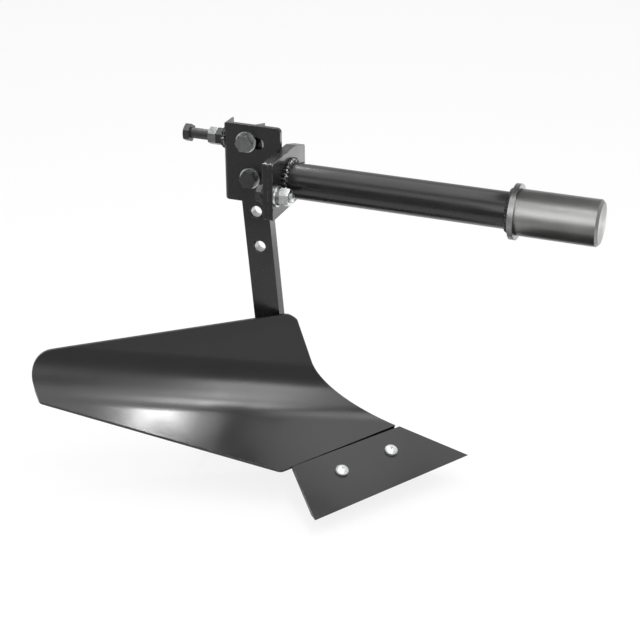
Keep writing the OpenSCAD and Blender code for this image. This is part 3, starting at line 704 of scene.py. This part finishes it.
studio = {
    "floorSize": 3.6, "floorPlace": (-0.2, 1.2, -0.3505), "floorTone": "#dcdcdc",
    "floorWhite": 0.84,       # how much of the floor the camera sees as plain white
    "floorMirror": 0.3,       # and how much of it a mirror does
    "sky": 1.0,               # brightness above and behind the plough
    "frontLeft": 0.4, "frontRight": 0.8,   # brightness of the lower front, left and right
    "frontSpan": {"From Min": -0.25, "From Max": 0.25},
    "skyRise": {"From Min": 0.36, "From Max": 0.44},
    "rearRise": {"From Min": -0.2, "From Max": 0.3},
}

# the floor ends in front, where the darker room keeps the upright faces deep black
floor = startPiece(bpy.ops.mesh.primitive_plane_add, size=studio["floorSize"],
                   location=studio["floorPlace"])
floor.name = "StudioFloor"
floorPaint = bpy.data.materials.new("PaleStudioFloor")
tree = emptyTree(floorPaint)
matt = addNode(tree, "ShaderNodeBsdfDiffuse", {"Color": linearColour(studio["floorTone"])})
white = addNode(tree, "ShaderNodeEmission", {"Strength": 1.0})
path = addNode(tree, "ShaderNodeLightPath", {})
seen = addNode(tree, "ShaderNodeMath", {"operation": "MULTIPLY", 1: studio["floorWhite"]},
               {0: path.outputs["Is Camera Ray"]})
glossy = addNode(tree, "ShaderNodeMath",
                 {"operation": "MULTIPLY_ADD", 1: studio["floorMirror"]},
                 {0: path.outputs["Is Glossy Ray"], 2: seen.outputs[0]})
mixed = addNode(tree, "ShaderNodeMixShader", {},
                {0: glossy.outputs[0], 1: matt.outputs["BSDF"], 2: white.outputs["Emission"]})
addNode(tree, "ShaderNodeOutputMaterial", {}, {"Surface": mixed.outputs["Shader"]})
floor.data.materials.append(floorPaint)

world = bpy.data.worlds.new("SoftStudio")
bpy.context.scene.world = world
tree = emptyTree(world)
way = addNode(tree, "ShaderNodeTexCoord", {})
axes = addNode(tree, "ShaderNodeSeparateXYZ", {}, {"Vector": way.outputs["Generated"]})
front = addNode(tree, "ShaderNodeMapRange",
                {**studio["frontSpan"], "To Min": studio["frontLeft"],
                 "To Max": studio["frontRight"]}, {"Value": axes.outputs["X"]})
above = addNode(tree, "ShaderNodeMapRange", {**studio["skyRise"], "To Max": studio["sky"]},
                {"Value": axes.outputs["Z"], "To Min": front.outputs["Result"]})
behind = addNode(tree, "ShaderNodeMapRange",
                 {**studio["rearRise"], "To Min": 0.0, "To Max": studio["sky"]},
                 {"Value": axes.outputs["Y"]})
level = addNode(tree, "ShaderNodeMath", {"operation": "MAXIMUM"},
                {0: above.outputs["Result"], 1: behind.outputs["Result"]})
room = addNode(tree, "ShaderNodeBackground", {}, {"Strength": level.outputs[0]})
sweep = addNode(tree, "ShaderNodeBackground", {"Color": (1, 1, 1, 1), "Strength": 1.0})
path = addNode(tree, "ShaderNodeLightPath", {})
mixed = addNode(tree, "ShaderNodeMixShader", {},
                {0: path.outputs["Is Camera Ray"], 1: room.outputs["Background"],
                 2: sweep.outputs["Background"]})
addNode(tree, "ShaderNodeOutputWorld", {}, {"Surface": mixed.outputs["Shader"]})

lamps = {   # a lamp faces its target, or hangs level and is turned about its rope
    "OverheadBox": {"size": (2.6, 2.4), "power": 24,
                    "place": (-0.3, 0.3, 1.75), "target": (-0.3, 0.1, -0.2)},
    "FrontBox": {"size": (1.7, 0.8), "power": 5.6,
                 "place": (-0.35, -1.75, 1.15), "target": (-0.1, 0.0, 0.0)},
    "BoardLamp": {"size": (0.058, 0.047), "power": 0.9,
                  "place": (-0.402, 0.127, 0.25), "turn": 0},
    "StreakLamp": {"size": (0.15, 1.58), "power": 11.2,
                   "place": (0.635, -0.97, 1.24), "turn": 35.7},
    "BridgePanel": {"size": (0.17, 0.32), "power": 3.0,
                    "place": (0.0, -0.07, 1.24), "turn": 35.7},
    "FillPanel": {"size": (0.45, 0.70), "power": 2.6,
                  "place": (0.13, 0.12, 1.27), "turn": 0},
    "LowPanel": {"size": (0.50, 0.14), "power": 0.15,
                 "place": (-0.74, -0.90, -0.29), "target": (-0.32, 0.0, 0.03)},
    "BackPanel": {"size": (0.34, 0.2), "power": 0.32,
                  "place": (0.04, 0.70, -0.235), "target": (0.04, 0.0, -0.235)},
    "SpigotPanel": {"size": (0.16, 0.14), "power": 0.22,
                    "place": (-0.03, -0.38, 0.12), "target": (0.04, 0.0, 0.0)},
}
# grey cards seen only in reflections: painted shade on the top and bottom of the spigot
shadeCards = {
    "CardAboveSpigot": {"size": (0.17, 0.205, 1), "place": (0.045, 0.0675, 0.09),
                        "tone": "#6a6a6a"},
    "CardBelowSpigot": {"size": (0.15, 0.18, 1), "place": (0.055, -0.06, -0.10),
                        "tone": "#3a3a3a"},
}


def softLamp(name, lamp):
    data = bpy.data.lights.new(name, "AREA")
    data.shape = "RECTANGLE"
    data.size, data.size_y = lamp["size"]
    data.energy = lamp["power"]
    lampObject = bpy.data.objects.new(name, data)
    bpy.context.collection.objects.link(lampObject)
    lampObject.location = place = Vector(lamp["place"])
    if "target" in lamp:
        way = Vector(lamp["target"]) - place
        lampObject.rotation_euler = way.to_track_quat("-Z", "Y").to_euler()
    else:
        lampObject.rotation_euler = (0, 0, math.radians(lamp["turn"]))
    lampObject.visible_camera = False


def shadeCard(name, values):
    # paper card that only mirrors see, with no shadow and no light on other things: it keeps
    # lamps and floor off the steel beside it, as painted shade in the reflections on the top and
    # bottom of the spigot
    card = startPiece(bpy.ops.mesh.primitive_plane_add, size=1, location=values["place"])
    card.name = name
    editAll(card)
    bpy.ops.transform.resize(value=values["size"])
    choose(card)
    paper = bpy.data.materials.new(name + "Paper")
    tree = emptyTree(paper)
    matt = addNode(tree, "ShaderNodeBsdfDiffuse", {"Color": linearColour(values["tone"])})
    addNode(tree, "ShaderNodeOutputMaterial", {}, {"Surface": matt.outputs["BSDF"]})
    card.data.materials.append(paper)
    card.visible_camera = card.visible_shadow = card.visible_diffuse = False


for name, lamp in lamps.items():
    softLamp(name, lamp)
for name, values in shadeCards.items():
    shadeCard(name, values)

# the camera stands where the photo fits it: ahead on the right, and a little above
cameraFit = {"place": (0.3472, -1.4739, 0.6116), "pan": 21.2, "tilt": 63.8,
             "lens": 86.5, "sensor": 36}     # in millimetres
camera = bpy.data.objects.new("Camera", bpy.data.cameras.new("Camera"))
bpy.context.collection.objects.link(camera)
camera.data.lens = cameraFit["lens"]
camera.data.sensor_width = cameraFit["sensor"]
camera.matrix_world = (Matrix.Translation(cameraFit["place"])
                       @ Matrix.Rotation(math.radians(cameraFit["pan"]), 4, "Z")
                       @ Matrix.Rotation(math.radians(cameraFit["tilt"]), 4, "X"))
bpy.context.scene.camera = camera
bpy.context.scene.view_settings.view_transform = "Standard"
print("studio set")
